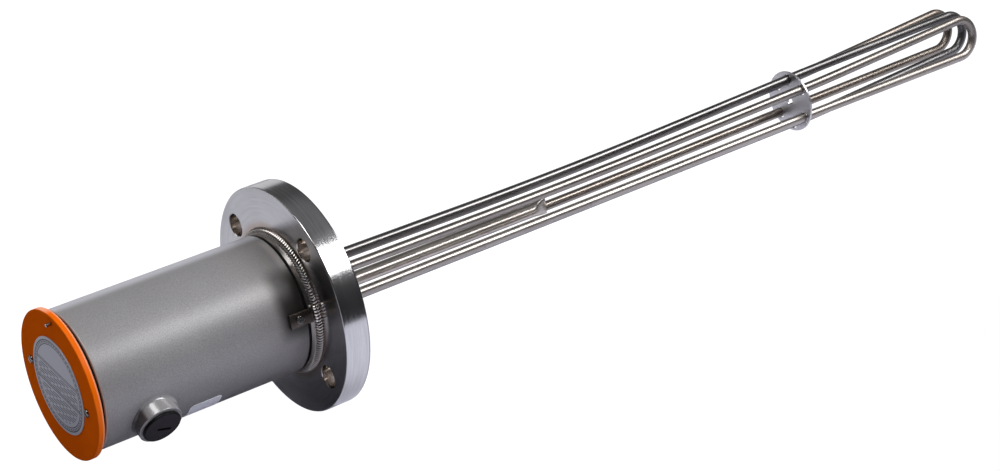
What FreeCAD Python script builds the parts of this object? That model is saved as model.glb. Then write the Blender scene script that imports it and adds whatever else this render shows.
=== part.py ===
import FreeCAD, Part
import math
import os

os.makedirs("parts", exist_ok=True)
Vector = FreeCAD.Vector

# A flanged immersion heater: three hairpin elements and a sensor pocket stand out of a blank pipe flange,
# and a round terminal housing with a screwed lid covers their ends on the other side.
# Lengths are in millimetres and angles in degrees.
# +X runs along the elements, away from the housing, and +Z is up.
# The origin is the centre of the flange's sealing face.
# Angles go round X, from +Y towards +Z.

# Flange: 3 inch, class 150, raised face
flange_diameter = 190.5
flange_thickness = 22.3
flange_edge_chamfer = 1.0
raised_face_diameter = 127.0
raised_face_height = 1.6
centre_recess_diameter = 52.5
centre_recess_depth = 0.5
bolt_circle_diameter = 152.4
bolt_count = 4
bolt_hole_diameter = 19.05
bolt_hole_chamfer = 0.6
first_bolt_angle = 45.0

# Collar that centres the terminal housing on the flange
collar_length = 8.3
collar_wall = 6.0
spigot_length = 5.0
spigot_wall = 3.0
spigot_clearance = 0.2
collar_weld_leg = 5.5
collar_weld_crown = 0.7

# Terminal housing
housing_diameter = 115.0
housing_wall = 2.5
housing_length = 181.7
housing_edge_chamfer = 0.5
housing_gasket_thickness = 1.6
gasket_recess = 0.5

# Lid, its gasket, its plate and its fasteners
lid_diameter = 123.0
lid_thickness = 5.9
lid_bevel = 1.0
lid_gasket_thickness = 2.0
lid_gasket_width = 4.5
nameplate_diameter = 80.4
nameplate_thickness = 0.6
lid_screw_radius = 44.7
lid_screw_angle = 15.0
lid_screw_size = 4.0
lid_screw_head_diameter = 6.4
lid_screw_head_height = 2.4
lid_screw_grip = 5.0
lid_screw_turn = 60.0
lid_stud_radius = 56.0
lid_stud_angle = 104.0
lid_stud_diameter = 2.8
lid_stud_height = 4.7
lid_stud_depth = 3.5
bracket_width = 14.0
bracket_thickness = 3.0
bracket_length = 26.0
bracket_reach = 12.0

# Cable entry boss and its blanking plug
boss_x = -172.0
boss_angle = 215.0
boss_diameter = 37.1
boss_height = 9.2
boss_bevel = 0.6
boss_bore_diameter = 25.0
boss_weld_leg = 2.0
plug_seal_thickness = 0.5
plug_seal_diameter = 31.0
plug_head_diameter = 31.8
plug_head_thickness = 2.0
plug_head_chamfer = 0.4
plug_shank_length = 9.0
plug_wall = 2.0
plug_clearance = 0.1
plug_slot_length = 13.0
plug_slot_width = 1.4
plug_slot_depth = 1.2
plug_slot_corner_radius = 0.35
plug_slot_turn = 20.0
plug_slot_shift_x = 1.5
plug_slot_shift_round = 3.1

# Lugs that hold the housing to the flange
lug_count = 2
first_lug_angle = 177.0
lug_width = 11.8
lug_thickness = 2.5
lug_length = 20.7
lug_corner_radius = 0.6
lug_weld_length = 14.0
lug_weld_lap = 0.7
lug_weld_lift = 1.2
lug_weld_radius = 3.6
lug_weld_taper = 1.8
lug_screw_setback = 12.2
lug_screw_turn = 31.0
lug_screw_size = 4.0
lug_screw_head_diameter = 7.2
lug_screw_head_height = 2.2
lug_screw_tail = 2.0
screw_slot_width = 0.9
screw_slot_depth = 1.0
screw_crown_radius = 0.6
screw_hole_clearance = 0.25
thread_clearance = 0.05

# Paper sticker on the side of the housing
sticker_x = -125.6
sticker_angle = 237.0
sticker_length = 28.2
sticker_height = 30.0
sticker_corner_radius = 3.0
sticker_thickness = 0.2

# Hairpin heating elements
element_diameter = 8.5
element_hole_clearance = 0.15
flange_leg_radius = 19.6
plate_leg_radius = 21.7
outer_leg_angle = 39.0
bend_radius = 17.0
knee_x = 215.0
knee_blend = 60.0
spring_offset = 60.0
spring_blend = 40.0
bundle_shift_y = 3.7
bundle_shift_z = 1.9
cold_end_length = 22.0
cold_end_trim = 1.0

# Each hairpin has sprung its own way past the plate: side of the bundle, then the centre of its bend
hairpins = {
    "front": (-1, Vector(729.0, -13.5, 6.4)),
    "middle": (0, Vector(733.0, 3.6, 7.7)),
    "back": (1, Vector(731.0, 20.5, 7.6)),
}

# Support plate that spaces the legs
plate_x = 528.1
plate_diameter = 56.4
plate_thickness = 2.0
plate_hole_clearance = 0.25
plate_middle_hole_diameter = 7.5

# Sensor pocket, pinched flat at its end
pocket_diameter = 12.0
pocket_wall = 1.0
pocket_z = -5.5
pocket_length = 241.0
pocket_pinch_length = 15.0
pocket_pinch_width = 14.0
pocket_pinch_thickness = 3.2
pocket_tail = 10.0

# Weld rings where the legs and the pocket leave the flange
weld_ring_leg = 1.8

# Terminals on the cold ends
pin_diameter = 4.0
pin_socket_depth = 12.0
pin_length = 21.0
insulator_diameter = 8.0
insulator_length = 6.0
nut_width = 7.0
nut_height = 3.2
washer_diameter = 9.0
washer_thickness = 0.8
link_width = 9.0
link_thickness = 1.5
link_hole_clearance = 0.2

# Earth stud on the inner side of the flange
earth_y = 32.0
earth_z = -22.0
earth_stud_diameter = 6.0
earth_stud_length = 22.0
earth_nut_width = 10.0
earth_nut_height = 5.0
earth_washer_diameter = 12.5
earth_washer_thickness = 1.6
earth_weld_leg = 1.5

# Places along X that follow from the sizes above
recess_face = -centre_recess_depth
flange_front = -raised_face_height
flange_back = flange_front - flange_thickness
collar_end = flange_back - collar_length
housing_front = collar_end - housing_gasket_thickness
housing_back = housing_front - housing_length
lid_inner = housing_back - lid_gasket_thickness
lid_outer = lid_inner - lid_thickness
housing_radius = housing_diameter / 2
housing_bore = housing_radius - housing_wall
element_radius = element_diameter / 2
plate_near = plate_x - plate_thickness / 2
cold_end = flange_back - cold_end_length


def export(name, shape):
    """Write one node's solids, joined up and tidied, to its own file."""
    shape = shape.removeSplitter()
    if not shape.isValid():
        raise ValueError(name + " is not a valid solid")
    shape.exportStep("parts/" + name + ".step")
    print(name, len(shape.Solids), "solids,", round(shape.Volume / 1000, 3), "cm3")


def around(radius, angle, x=0.0):
    """Point at a radius and an angle round the X axis."""
    turn = math.radians(angle)
    return Vector(x, radius * math.cos(turn), radius * math.sin(turn))


def outward(angle):
    """Unit vector that points away from the X axis."""
    return around(1.0, angle)


def heading(angle, turn):
    """Unit vector in the housing's skin at an angle, turned from +X towards growing angles."""
    swing = math.radians(turn)
    return Vector(math.cos(swing), 0, 0) + outward(angle + 90) * math.sin(swing)


def rod(radius, start, end):
    """Cylinder from one point to another."""
    way = end - start
    return Part.makeCylinder(radius, way.Length, start, way)


def rod_x(radius, x_low, x_high, y=0.0, z=0.0):
    """Cylinder along X."""
    return Part.makeCylinder(radius, x_high - x_low, Vector(x_low, y, z), Vector(1, 0, 0))


def ring_x(outer, inner, x_low, x_high, y=0.0, z=0.0):
    """Ring along X."""
    return rod_x(outer, x_low, x_high, y, z).cut(rod_x(inner, x_low, x_high, y, z))


def closed_wire(points):
    return Part.makePolygon(list(points) + [points[0]])


def turned(profile, centre=Vector(0, 0, 0), axis=Vector(1, 0, 0), side=Vector(0, 1, 0), sweep=360):
    """Solid of revolution from (along the axis, radius) points."""
    points = [centre + axis * along + side * radius for along, radius in profile]
    return Part.Face(closed_wire(points)).revolve(centre, axis, sweep)


def hexagon_x(width, x_low, x_high, y, z):
    """Hexagonal prism along X, given across its flats."""
    corner_radius = width / 2 / math.cos(math.radians(30))
    corners = [Vector(x_low, y, z) + around(corner_radius, 60 * step) for step in range(6)]
    return Part.Face(closed_wire(corners)).extrude(Vector(x_high - x_low, 0, 0))


def nut_x(width, height, hole_radius, x_low, y, z):
    """Hexagonal nut with its corners turned off on one side."""
    crown = width / 2 / math.cos(math.radians(30))
    cone = turned([(0, 0), (0, width / 2), (crown - width / 2, crown), (height, crown), (height, 0)],
                  Vector(x_low, y, z))
    prism = hexagon_x(width, x_low, x_low + height, y, z).common(cone)
    return prism.cut(rod_x(hole_radius, x_low, x_low + height, y, z))


def frame_at(origin, along, up):
    """Placement whose X runs along and whose Z points up."""
    across = up.cross(along)
    matrix = FreeCAD.Matrix(along.x, across.x, up.x, origin.x,
                            along.y, across.y, up.y, origin.y,
                            along.z, across.z, up.z, origin.z,
                            0, 0, 0, 1)
    return FreeCAD.Placement(matrix)


def screw(head_diameter, head_height, size, shank_length):
    """Screw with its head's seat at Z = 0, its head above and its shank below, and its slot along X."""
    head = Part.makeCylinder(head_diameter / 2, head_height)
    crown_edge = [edge for edge in head.Edges if edge.BoundBox.ZMin > head_height / 2]
    head = head.makeFillet(screw_crown_radius, crown_edge)
    slot = Part.makeBox(head_diameter, screw_slot_width, screw_slot_depth,
                        Vector(-head_diameter / 2, -screw_slot_width / 2, head_height - screw_slot_depth))
    shank = Part.makeCylinder(size / 2, shank_length, Vector(0, 0, -shank_length))
    return head.cut(slot).fuse(shank)


def rounded_slab(length, width, thickness, corner_radius):
    """Flat slab centred on the origin, with rounded corners, rising from Z = 0."""
    slab = Part.makeBox(length, width, thickness, Vector(-length / 2, -width / 2, 0))
    corners = [edge for edge in slab.Edges if edge.BoundBox.ZLength > thickness / 2]
    return slab.makeFillet(corner_radius, corners)


# Legs of the hairpins


def leg_angle(side, upper):
    """Angle of a leg round the X axis: three legs above the middle and three below."""
    above = {-1: 180 - outer_leg_angle, 0: 90, 1: outer_leg_angle}[side]
    return above if upper else -above


def flange_point(side, upper, x=0.0):
    return around(flange_leg_radius, leg_angle(side, upper), x)


def plate_point(side, upper):
    """Where a leg crosses the middle of the support plate."""
    return around(plate_leg_radius, leg_angle(side, upper), plate_x) + Vector(0, bundle_shift_y, bundle_shift_z)


def tangent_point(outside, centre, inner):
    """Where the line from an outside point touches the bend, on the side away from the inner point."""
    normal = (outside - centre).cross(inner - centre)
    reach = outside - centre
    swing = math.degrees(math.acos(bend_radius / reach.Length))
    touch = FreeCAD.Rotation(normal, -swing).multVec(reach)
    return centre + touch * (bend_radius / touch.Length)


def leg_corners(side, upper, centre):
    """Corner points of a leg, from just past its cold end to where it meets the bend."""
    start = flange_point(side, upper, cold_end - cold_end_trim)
    knee = flange_point(side, upper, knee_x)
    crossing = plate_point(side, upper)
    way = crossing - knee
    spring = crossing + way * (spring_offset / way.x)
    touch = tangent_point(spring, centre, plate_point(side, not upper))
    return [start, knee, spring, touch]


def blended_edges(corners, blends):
    """Straight runs joined by tangent arcs, each arc reaching its blend length from its corner."""
    edges = []
    start = corners[0]
    for corner, after, blend in zip(corners[1:], corners[2:], blends):
        back = (start - corner).normalize()
        ahead = (after - corner).normalize()
        first = corner + back * blend
        last = corner + ahead * blend
        half_turn = math.acos(max(-1.0, min(1.0, (back * -1).dot(ahead)))) / 2
        arc_radius = blend / math.tan(half_turn)
        inwards = (back + ahead).normalize()
        middle = corner + inwards * (arc_radius / math.cos(half_turn) - arc_radius)
        edges.append(Part.LineSegment(start, first).toShape())
        edges.append(Part.Arc(first, middle, last).toShape())
        start = last
    edges.append(Part.LineSegment(start, corners[-1]).toShape())
    return edges


def hairpin(side, centre):
    """One sheathed element: out along its upper leg, round its bend and back along its lower leg."""
    upper = leg_corners(side, True, centre)
    lower = leg_corners(side, False, centre)
    between_legs = (plate_point(side, True) + plate_point(side, False)) * 0.5
    tip = centre + (centre - between_legs).normalize() * bend_radius
    blends = [knee_blend, spring_blend]
    bend = Part.Arc(upper[-1], tip, lower[-1]).toShape()
    path = Part.Wire(blended_edges(upper, blends) + [bend] + blended_edges(lower, blends)[::-1])
    section = Part.Wire(Part.makeCircle(element_radius, upper[0], Vector(1, 0, 0)))
    sheath = path.makePipeShell([section], True, True)
    sheath = sheath.cut(rod_x(housing_bore, cold_end - 2 * cold_end_trim, cold_end))
    for upper_leg in (True, False):
        place = flange_point(side, upper_leg)
        socket = rod_x(pin_diameter / 2 + thread_clearance, cold_end, cold_end + pin_socket_depth, place.y, place.z)
        sheath = sheath.cut(socket)
    return sheath


legs = [(side, upper) for upper in (True, False) for side in (-1, 0, 1)]


# Flange


def flange():
    """Blank with a raised sealing ring, turned a little lower inside it, where the elements are welded in."""
    radius = flange_diameter / 2
    face_radius = raised_face_diameter / 2
    recess_radius = centre_recess_diameter / 2
    bevel = flange_edge_chamfer
    body = turned([(flange_back, 0), (flange_back, radius - bevel), (flange_back + bevel, radius),
                   (flange_front - bevel, radius), (flange_front, radius - bevel), (flange_front, face_radius),
                   (0, face_radius), (0, recess_radius), (recess_face, recess_radius), (recess_face, 0)])
    for step in range(bolt_count):
        place = around(bolt_circle_diameter / 2, first_bolt_angle + step * 360 / bolt_count)
        hole_radius = bolt_hole_diameter / 2
        mouth = hole_radius + bolt_hole_chamfer
        hole = turned([(flange_back, 0), (flange_back, mouth), (flange_back + bolt_hole_chamfer, hole_radius),
                       (flange_front - bolt_hole_chamfer, hole_radius), (flange_front, mouth), (flange_front, 0)],
                      place)
        body = body.cut(hole)
    for side, upper in legs:
        place = flange_point(side, upper)
        body = body.cut(rod_x(element_radius + element_hole_clearance, flange_back, 0, place.y, place.z))
    return body.cut(rod_x(pocket_diameter / 2 + element_hole_clearance, flange_back, 0, 0, pocket_z))


# Collar, gaskets and housing


def collar():
    body = ring_x(housing_radius, housing_radius - collar_wall, collar_end, flange_back)
    spigot_radius = housing_bore - spigot_clearance
    spigot = ring_x(spigot_radius, spigot_radius - spigot_wall, housing_front - spigot_length, collar_end)
    return body.fuse(spigot)


def collar_weld():
    """Fillet weld with a slightly crowned face, all round the collar."""
    foot = Vector(flange_back, housing_radius + collar_weld_leg, 0)
    top = Vector(flange_back - collar_weld_leg, housing_radius, 0)
    root = Vector(flange_back, housing_radius, 0)
    crown = (foot + top) * 0.5 + (top - root + foot - root).normalize() * collar_weld_crown
    outline = Part.Wire([Part.Arc(foot, crown, top).toShape(), Part.LineSegment(top, root).toShape(),
                         Part.LineSegment(root, foot).toShape()])
    return Part.Face(outline).revolve(Vector(0, 0, 0), Vector(1, 0, 0), 360)


def housing_gasket():
    return ring_x(housing_radius - gasket_recess, housing_bore, housing_front, collar_end)


def lug_angle(step):
    return first_lug_angle + step * 360 / lug_count


def lug_frame(step):
    """Placement on the housing at a lug: X towards the housing's lid, Z outwards."""
    angle = lug_angle(step)
    return frame_at(around(housing_radius, angle, flange_back - collar_weld_leg), Vector(-1, 0, 0), outward(angle))


def lid_screw_angles():
    return [lid_screw_angle, lid_screw_angle + 180]


def terminal_housing():
    edge = housing_edge_chamfer
    body = turned([(housing_front, housing_bore), (housing_front, housing_radius - edge),
                   (housing_front - edge, housing_radius), (housing_back + edge, housing_radius),
                   (housing_back, housing_radius - edge), (housing_back, housing_bore)])
    body = body.cut(rod(boss_bore_diameter / 2, Vector(boss_x, 0, 0), around(housing_diameter, boss_angle, boss_x)))
    for step in range(lug_count):
        hole_radius = lug_screw_size / 2 + thread_clearance
        centre = lug_frame(step).multVec(Vector(lug_screw_setback, 0, 0))
        body = body.cut(rod(hole_radius, centre - outward(lug_angle(step)) * housing_radius / 2,
                            centre + outward(lug_angle(step)) * housing_wall))
    return body


def cable_entry_boss():
    """Socket cut to the curve of the housing, with a bevelled rim."""
    way = outward(boss_angle)
    radius = boss_diameter / 2
    rim = housing_radius + boss_height
    body = turned([(0, boss_bore_diameter / 2), (0, radius), (rim - boss_bevel, radius),
                   (rim, radius - boss_bevel), (rim, boss_bore_diameter / 2)],
                  Vector(boss_x, 0, 0), way, Vector(1, 0, 0))
    return body.cut(rod_x(housing_radius, housing_back, housing_front))


def boss_weld():
    """Smooth bead between the boss and the housing, even all round on the curved wall."""
    way = outward(boss_angle)
    radius = boss_diameter / 2
    leg = boss_weld_leg
    bead = turned([(0, radius), (0, radius + leg), (housing_radius, radius + leg), (housing_radius + leg, radius)],
                  Vector(boss_x, 0, 0), way, Vector(1, 0, 0))
    skin = ring_x(housing_radius + leg, housing_radius, housing_back, housing_front)
    return bead.common(skin)


def blanking_plug():
    """Moulded plug: slotted head, hollow shank."""
    way = outward(boss_angle)
    seat = housing_radius + boss_height + plug_seal_thickness
    top = seat + plug_head_thickness
    head = plug_head_diameter / 2
    shank = boss_bore_diameter / 2 - plug_clearance
    low = seat - plug_shank_length
    body = turned([(low, shank - plug_wall), (low, shank), (seat, shank), (seat, head),
                   (top - plug_head_chamfer, head), (top, head - plug_head_chamfer), (top, 0),
                   (seat - plug_wall, 0), (seat - plug_wall, shank - plug_wall)],
                  Vector(boss_x, 0, 0), way, Vector(1, 0, 0))
    slot = rounded_slab(plug_slot_length, plug_slot_width, plug_slot_depth, plug_slot_corner_radius)
    slot.translate(Vector(0, 0, -plug_slot_depth))
    middle = around(top, boss_angle, boss_x + plug_slot_shift_x) + heading(boss_angle, 90) * plug_slot_shift_round
    slot.Placement = frame_at(middle, heading(boss_angle, plug_slot_turn), way).multiply(slot.Placement)
    return body.cut(slot)


def plug_seal():
    way = outward(boss_angle)
    seat = housing_radius + boss_height
    return turned([(seat, boss_bore_diameter / 2), (seat, plug_seal_diameter / 2),
                   (seat + plug_seal_thickness, plug_seal_diameter / 2),
                   (seat + plug_seal_thickness, boss_bore_diameter / 2)],
                  Vector(boss_x, 0, 0), way, Vector(1, 0, 0))


def lid():
    radius = lid_diameter / 2
    body = turned([(lid_inner, 0), (lid_inner, radius), (lid_outer + lid_bevel, radius),
                   (lid_outer, radius - lid_bevel), (lid_outer, 0)])
    for angle in lid_screw_angles():
        place = around(lid_screw_radius, angle)
        body = body.cut(rod_x(lid_screw_size / 2 + screw_hole_clearance, lid_outer, lid_inner, place.y, place.z))
    place = around(lid_stud_radius, lid_stud_angle)
    return body.cut(rod_x(lid_stud_diameter / 2, lid_outer, lid_outer + lid_stud_depth, place.y, place.z))


def lid_gasket():
    outer = housing_radius - gasket_recess
    return ring_x(outer, outer - lid_gasket_width, lid_inner, housing_back)


def lid_stud():
    place = around(lid_stud_radius, lid_stud_angle)
    return rod_x(lid_stud_diameter / 2, lid_outer - lid_stud_height, lid_outer + lid_stud_depth, place.y, place.z)


def lid_screws():
    length = lid_thickness + lid_gasket_thickness + bracket_thickness + lid_screw_grip
    screws = []
    for angle in lid_screw_angles():
        one = screw(lid_screw_head_diameter, lid_screw_head_height, lid_screw_size, length)
        one.Placement = frame_at(around(lid_screw_radius, angle, lid_outer), outward(lid_screw_turn),
                                 Vector(-1, 0, 0))
        screws.append(one)
    return Part.makeCompound(screws)


def lid_bracket(angle):
    """Bent strip welded to the housing's wall, its tab tapped for a lid screw."""
    tab_inner = lid_screw_radius - bracket_reach / 2
    tab = Part.makeBox(bracket_thickness, housing_bore - tab_inner, bracket_width,
                       Vector(housing_back, tab_inner, -bracket_width / 2))
    foot = Part.makeBox(bracket_length, housing_bore, bracket_width,
                        Vector(housing_back, 0, -bracket_width / 2))
    foot = foot.cut(rod_x(housing_bore - bracket_thickness, housing_back, housing_back + bracket_length))
    body = tab.fuse(foot).common(rod_x(housing_bore, housing_back, housing_back + bracket_length))
    body = body.cut(rod_x(lid_screw_size / 2 + thread_clearance, housing_back,
                          housing_back + bracket_thickness, lid_screw_radius, 0))
    body.rotate(Vector(0, 0, 0), Vector(1, 0, 0), angle)
    return body


def inspection_sticker():
    """Paper label bent to the housing."""
    slab = rounded_slab(sticker_length, sticker_height, housing_radius, sticker_corner_radius)
    slab.Placement = frame_at(Vector(sticker_x, 0, 0) + outward(sticker_angle) * (housing_radius / 2),
                              Vector(1, 0, 0), outward(sticker_angle))
    skin = ring_x(housing_radius + sticker_thickness, housing_radius,
                  sticker_x - sticker_length, sticker_x + sticker_length)
    return skin.common(slab)


# Lugs


def fixing_lug(step):
    """Flat strip from the weld at the flange to the housing, drilled for its screw."""
    body = rounded_slab(lug_length, lug_width, lug_thickness, lug_corner_radius)
    body.translate(Vector(lug_length / 2, 0, 0))
    hole = Part.makeCylinder(lug_screw_size / 2 + screw_hole_clearance, lug_thickness,
                             Vector(lug_screw_setback, 0, 0))
    body = body.cut(hole)
    body.Placement = lug_frame(step)
    return body


def lug_welds():
    """Bead with tapered ends across the end of each lug, run on to the collar's weld."""
    half = lug_weld_length / 2
    radius = lug_weld_radius
    taper = lug_weld_taper
    middle = Vector(lug_weld_lap - radius, 0, lug_thickness + lug_weld_lift)
    outline = [(-half, 0), (-half, radius - taper), (taper - half, radius), (half - taper, radius),
               (half, radius - taper), (half, 0)]
    welds = []
    for step in range(lug_count):
        place = lug_frame(step)
        across = place.Rotation.multVec(Vector(0, 1, 0))
        bead = turned(outline, place.multVec(middle), across, outward(lug_angle(step)))
        bead = bead.cut(rod_x(flange_diameter, flange_back, 0))
        bead = bead.cut(rod_x(housing_radius, housing_back, flange_back))
        welds.append(bead.cut(collar_weld()).cut(fixing_lug(step)))
    return Part.makeCompound(welds)


def lug_screws():
    length = lug_thickness + housing_wall + lug_screw_tail
    screws = []
    for step in range(lug_count):
        one = screw(lug_screw_head_diameter, lug_screw_head_height, lug_screw_size, length)
        place = lug_frame(step).multVec(Vector(lug_screw_setback, 0, lug_thickness))
        one.Placement = frame_at(place, heading(lug_angle(step), lug_screw_turn), outward(lug_angle(step)))
        screws.append(one)
    return Part.makeCompound(screws)


# Wet side


def support_plate():
    centre = Vector(plate_x, bundle_shift_y, bundle_shift_z)
    far = plate_near + plate_thickness
    body = rod_x(plate_diameter / 2, plate_near, far, centre.y, centre.z)
    body = body.cut(rod_x(plate_middle_hole_diameter / 2, plate_near, far, centre.y, centre.z))
    for side, upper in legs:
        place = plate_point(side, upper)
        hole = rod_x(element_radius + plate_hole_clearance, plate_near, far, place.y, place.z)
        body = body.cut(hole)
    return body


def pocket_end():
    """Tube end pressed flat and welded shut: round where it starts, a thin rounded bar where it ends."""
    radius = pocket_diameter / 2
    start = pocket_length - pocket_pinch_length
    quarter = radius * math.sqrt(0.5)
    round_corners = [Vector(start, y * quarter, z * quarter + pocket_z)
                     for y, z in ((-1, 1), (1, 1), (1, -1), (-1, -1))]
    round_middles = [Vector(start, y * radius, z * radius + pocket_z)
                     for y, z in ((0, 1), (1, 0), (0, -1), (-1, 0))]
    round_edges = [Part.Arc(round_corners[step], round_middles[step], round_corners[(step + 1) % 4]).toShape()
                   for step in range(4)]
    half_thickness = pocket_pinch_thickness / 2
    half_width = pocket_pinch_width / 2
    top, low = half_width - half_thickness, half_thickness - half_width
    flat_corners = [Vector(pocket_length, y * half_thickness, z + pocket_z)
                    for y, z in ((-1, top), (1, top), (1, low), (-1, low))]
    flat_edges = [
        Part.Arc(flat_corners[0], Vector(pocket_length, 0, half_width + pocket_z), flat_corners[1]).toShape(),
        Part.LineSegment(flat_corners[1], flat_corners[2]).toShape(),
        Part.Arc(flat_corners[2], Vector(pocket_length, 0, pocket_z - half_width), flat_corners[3]).toShape(),
        Part.LineSegment(flat_corners[3], flat_corners[0]).toShape(),
    ]
    return Part.makeLoft([Part.Wire(round_edges), Part.Wire(flat_edges)], True, True)


def sensor_pocket():
    radius = pocket_diameter / 2
    start = pocket_length - pocket_pinch_length
    tail = flange_back - pocket_tail
    tube = ring_x(radius, radius - pocket_wall, tail, start, 0, pocket_z)
    return tube.fuse(pocket_end())


def element_weld_rings():
    """Small fillet ring round each leg, and round the pocket, inside the sealing ring."""
    rings = []
    places = [(flange_point(side, upper), element_radius) for side, upper in legs]
    places.append((Vector(0, 0, pocket_z), pocket_diameter / 2))
    for place, radius in places:
        rings.append(turned([(recess_face, radius), (recess_face, radius + weld_ring_leg),
                             (recess_face + weld_ring_leg, radius)], place))
    return Part.makeCompound(rings)


# Terminals, from the cold end of each leg outwards


insulator_end = cold_end - insulator_length
washer_end = insulator_end - washer_thickness
link_end = washer_end - link_thickness
pin_hole_radius = pin_diameter / 2 + thread_clearance


def terminal_pin(side, upper):
    place = flange_point(side, upper)
    return rod_x(pin_diameter / 2, cold_end - pin_length, cold_end + pin_socket_depth, place.y, place.z)


def terminal_insulator(side, upper):
    place = flange_point(side, upper)
    return ring_x(insulator_diameter / 2, pin_hole_radius, insulator_end, cold_end, place.y, place.z)


def terminal_washers():
    return Part.makeCompound([ring_x(washer_diameter / 2, pin_hole_radius, washer_end, insulator_end,
                                     flange_point(side, upper).y, flange_point(side, upper).z)
                              for side, upper in legs])


def terminal_nuts():
    """The nuts on the upper legs clamp the star link, and those on the lower legs stand on their washers."""
    nuts = []
    for side, upper in legs:
        place = flange_point(side, upper)
        seat = link_end if upper else washer_end
        nuts.append(nut_x(nut_width, nut_height, pin_hole_radius, seat - nut_height, place.y, place.z))
    return Part.makeCompound(nuts)


def star_link():
    """Curved bar that joins the three upper terminals."""
    half = link_width / 2
    inner = flange_leg_radius - half
    outer = flange_leg_radius + half
    bar = turned([(link_end, inner), (washer_end, inner), (washer_end, outer), (link_end, outer)],
                 side=outward(outer_leg_angle), sweep=180 - 2 * outer_leg_angle)
    for side in (-1, 0, 1):
        place = flange_point(side, True)
        bar = bar.fuse(rod_x(half, link_end, washer_end, place.y, place.z))
    for side in (-1, 0, 1):
        place = flange_point(side, True)
        bar = bar.cut(rod_x(pin_diameter / 2 + link_hole_clearance, link_end, washer_end, place.y, place.z))
    return bar


# Earth connection


def earth_stud():
    """Stud with a small weld at its foot."""
    radius = earth_stud_diameter / 2
    return turned([(flange_back, 0), (flange_back, radius + earth_weld_leg), (flange_back - earth_weld_leg, radius),
                   (flange_back - earth_stud_length, radius), (flange_back - earth_stud_length, 0)],
                  Vector(0, earth_y, earth_z))


earth_seat = flange_back - earth_stud_length / 2


def earth_washer():
    hole = earth_stud_diameter / 2 + thread_clearance
    return ring_x(earth_washer_diameter / 2, hole, earth_seat - earth_washer_thickness, earth_seat, earth_y, earth_z)


def earth_nuts():
    """One nut stands off the flange, and the other grips the conductor against the washer."""
    hole = earth_stud_diameter / 2 + thread_clearance
    outer_low = earth_seat - earth_washer_thickness - earth_nut_height
    return Part.makeCompound([
        nut_x(earth_nut_width, earth_nut_height, hole, outer_low, earth_y, earth_z),
        nut_x(earth_nut_width, earth_nut_height, hole, earth_seat, earth_y, earth_z),
    ])


export("flange", flange())
export("collar", collar())
export("collar_weld", collar_weld())
export("housing_gasket", housing_gasket())
export("terminal_housing", terminal_housing())
export("cable_entry_boss", cable_entry_boss())
export("boss_weld", boss_weld())
export("blanking_plug", blanking_plug())
export("plug_seal", plug_seal())
export("lid", lid())
export("lid_gasket", lid_gasket())
export("lid_stud", lid_stud())
export("lid_screws", lid_screws())
export("nameplate", rod_x(nameplate_diameter / 2, lid_outer - nameplate_thickness, lid_outer))
for number, angle in enumerate(lid_screw_angles(), 1):
    export("lid_bracket_%d" % number, lid_bracket(angle))
export("inspection_sticker", inspection_sticker())
for step in range(lug_count):
    export("fixing_lug_%d" % (step + 1), fixing_lug(step))
export("lug_welds", lug_welds())
export("lug_screws", lug_screws())
for place, (side, centre) in hairpins.items():
    export("heating_element_" + place, hairpin(side, centre))
export("support_plate", support_plate())
export("sensor_pocket", sensor_pocket())
export("element_weld_rings", element_weld_rings())
for number, (side, upper) in enumerate(legs, 1):
    export("terminal_pin_%d" % number, terminal_pin(side, upper))
    export("terminal_insulator_%d" % number, terminal_insulator(side, upper))
export("terminal_washers", terminal_washers())
export("terminal_nuts", terminal_nuts())
export("star_link", star_link())
export("earth_stud", earth_stud())
export("earth_washer", earth_washer())
export("earth_nuts", earth_nuts())
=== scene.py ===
from math import acos, copysign, cos, degrees, pi, radians, sin, sqrt
import bmesh
import bpy
from mathutils import Matrix, Quaternion, Vector


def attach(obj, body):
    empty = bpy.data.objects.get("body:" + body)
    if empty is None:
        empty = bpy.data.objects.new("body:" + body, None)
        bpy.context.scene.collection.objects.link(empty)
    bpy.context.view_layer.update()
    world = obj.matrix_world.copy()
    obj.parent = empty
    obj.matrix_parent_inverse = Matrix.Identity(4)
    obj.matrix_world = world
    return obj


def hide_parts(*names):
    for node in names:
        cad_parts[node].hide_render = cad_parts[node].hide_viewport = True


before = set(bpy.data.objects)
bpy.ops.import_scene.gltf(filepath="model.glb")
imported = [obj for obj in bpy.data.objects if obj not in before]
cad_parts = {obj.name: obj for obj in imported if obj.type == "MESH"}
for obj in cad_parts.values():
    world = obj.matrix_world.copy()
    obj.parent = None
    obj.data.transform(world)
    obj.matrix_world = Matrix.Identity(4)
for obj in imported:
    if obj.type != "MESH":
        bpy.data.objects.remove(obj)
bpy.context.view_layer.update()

# A flanged immersion heater lying on a pale table: +X runs along the elements, away from the terminal
# housing, and angles go round X, from +Y towards +Z. The sizes of shapes are in millimetres, as in the
# solids, and every mesh is brought to metres as it is made. Materials work in metres.


# Flange: a 3 inch blank flange of turned stainless steel with a raised sealing ring and four bolt holes.
# Its rim and faces are turned, so they carry fine lines that run round it, and the edges are broken
# with a small chamfer. Near the welds the steel is tinted by heat, and its front edge is darkened as a
# painted reflection.
mm = 0.001
flange_radius = 95.25
flange_face_x = -1.6
flange_back_x = -23.9
sealing_ring_radius = 63.5
sealing_ring_bore = 26.25
recess_x = -0.5
bolt_circle_radius = 76.2
bolt_hole_radius = 9.525
bolt_hole_chamfer = 0.6
first_bolt_angle = 45.0


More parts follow.
